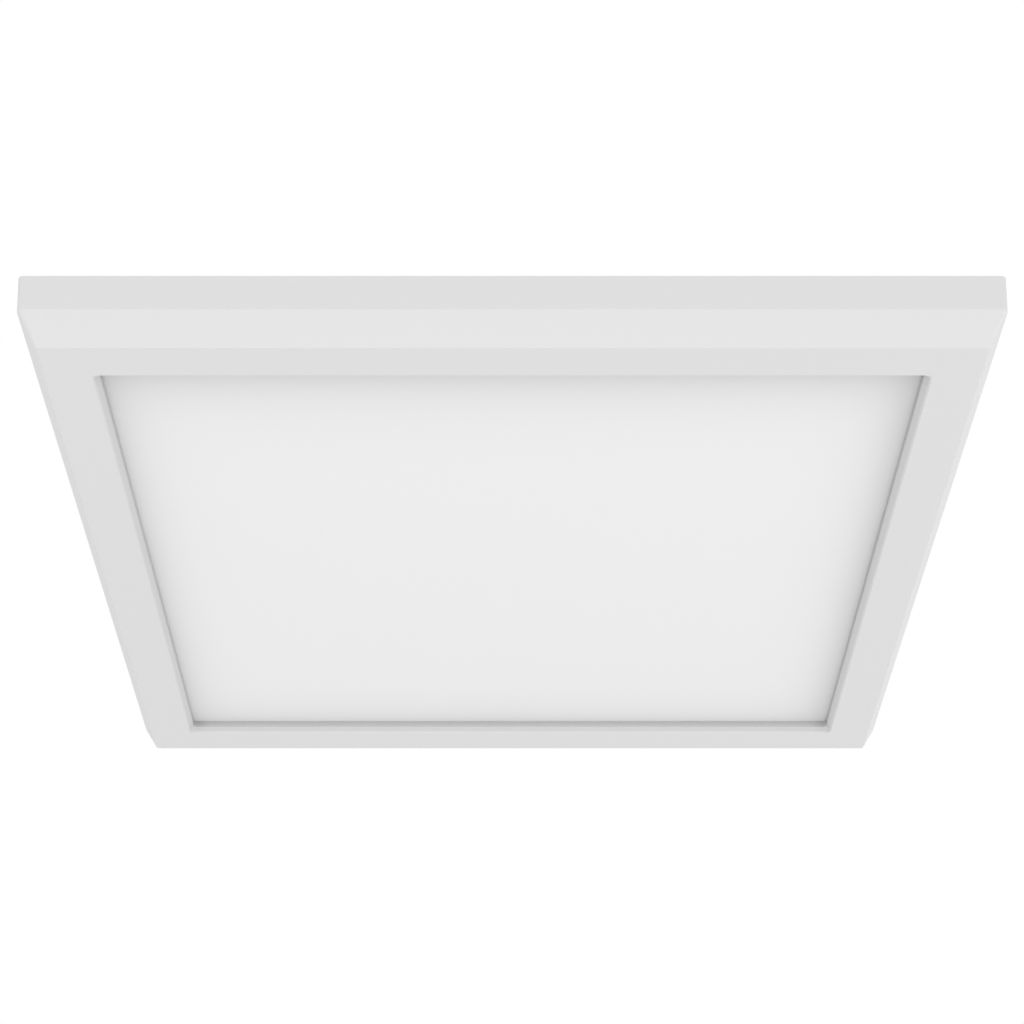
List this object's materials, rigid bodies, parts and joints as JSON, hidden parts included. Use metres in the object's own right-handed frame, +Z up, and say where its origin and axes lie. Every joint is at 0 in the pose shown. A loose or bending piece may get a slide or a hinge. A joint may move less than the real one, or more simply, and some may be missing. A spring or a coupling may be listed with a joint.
{
  "type": "flush mount ceiling light",
  "caption": "Square flush-mount LED ceiling light: a white frame round a recessed opal panel, snapped onto a steel ceiling plate, with driver, terminal and colour switch on its back.",
  "frame": {"origin": "middle of the mounting plate's top face, in the plane of the ceiling", "axes": "+Z up into the ceiling, +X to the right and -Y towards the front of the light as pictured"},
  "size_m": [0.3, 0.3, 0.0221],
  "materials": {
    "white_powder_coat": "satin powder coat on die-cast aluminium",
    "opal_sheet": "satin opal polystyrene sheet",
    "clear_acrylic": "clear cast acrylic with a printed dot field",
    "white_film": "white reflective polyester film",
    "grey_foam": "closed-cell EVA foam",
    "galvanised_steel": "galvanised sheet with a faint spangle",
    "extruded_aluminium": "mill finish extrusion",
    "white_solder_mask": "white solder mask on an aluminium-core board",
    "led_phosphor": "yellow phosphor in a white package",
    "white_abs": "moulded white ABS",
    "zinc_plated_steel": "bright zinc plate",
    "spring_steel": "rolled stainless spring strip",
    "aluminium_rivet": "drawn aluminium",
    "green_screw": "green-dyed zinc plate",
    "white_polycarbonate": "moulded white polycarbonate",
    "green_circuit_board": "glass-epoxy board with green solder mask",
    "dark_ferrite": "ferrite core with a taped winding",
    "capacitor_sleeve": "shrunk PET sleeve",
    "copper_winding": "enamelled copper wire",
    "black_epoxy": "moulded epoxy",
    "grey_polyamide": "moulded light grey polyamide",
    "tinned_brass": "pressed brass",
    "orange_polyamide": "moulded orange polyamide",
    "black_polyamide": "moulded black polyamide",
    "white_polyamide": "moulded white polyamide",
    "red_insulation": "extruded PVC insulation",
    "black_insulation": "extruded PVC insulation",
    "black_rubber": "moulded rubber"
  },
  "bodies": {
    "ceiling_mount": {"mounting_plate": "galvanised_steel", "ground_washer": "zinc_plated_steel", "ground_screw": "green_screw"},
    "light_fixture": {"trim_frame": "white_powder_coat", "diffuser": "opal_sheet", "light_guide": "clear_acrylic", "reflector_sheet": "white_film", "backing_foam": "grey_foam", "back_pan": "galvanised_steel", "right_led_rail": "extruded_aluminium", "left_led_rail": "extruded_aluminium", "right_led_board": "white_solder_mask", "left_led_board": "white_solder_mask", "right_leds": "led_phosphor", "left_leds": "led_phosphor", "rear_edge_spacer": "white_abs", "front_edge_spacer": "white_abs", "back_pan_screws": "zinc_plated_steel", "right_spring_clip": "spring_steel", "left_spring_clip": "spring_steel", "clip_rivets": "aluminium_rivet", "driver_case": "white_polycarbonate", "driver_cover": "white_polycarbonate", "driver_case_screws": "zinc_plated_steel", "driver_board": "green_circuit_board", "driver_transformer": "dark_ferrite", "driver_capacitors": "capacitor_sleeve", "driver_choke": "copper_winding", "driver_chips": "black_epoxy", "terminal_block": "grey_polyamide", "terminal_contacts": "tinned_brass", "color_switch_body": "black_polyamide", "red_output_leads": "red_insulation", "black_output_leads": "black_insulation", "lead_grommets": "black_rubber", "lead_clips": "white_polyamide"},
    "line_button": {"line_release_button": "orange_polyamide"},
    "neutral_button": {"neutral_release_button": "orange_polyamide"},
    "earth_button": {"earth_release_button": "orange_polyamide"},
    "color_slider": {"color_switch_slider": "white_polyamide"}
  },
  "joints": [
    {"name": "fixture_snap_off", "type": "slide", "parent": "ceiling_mount", "child": "light_fixture", "axis": [0, 0, -1], "range_m": [0, 0.03], "deforming": ["right_spring_clip", "left_spring_clip"]},
    {"name": "line_release", "type": "slide", "parent": "light_fixture", "child": "line_button", "axis": [0, 0, -1], "range_m": [0, 0.001], "stiffness_N_per_m": 2500, "springref_m": -0.0006},
    {"name": "neutral_release", "type": "slide", "parent": "light_fixture", "child": "neutral_button", "axis": [0, 0, -1], "range_m": [0, 0.001], "stiffness_N_per_m": 2500, "springref_m": -0.0006},
    {"name": "earth_release", "type": "slide", "parent": "light_fixture", "child": "earth_button", "axis": [0, 0, -1], "range_m": [0, 0.001], "stiffness_N_per_m": 2500, "springref_m": -0.0006},
    {"name": "color_switch", "type": "slide", "parent": "light_fixture", "child": "color_slider", "axis": [1, 0, 0], "range_m": [-0.003, 0.003]}
  ]
}
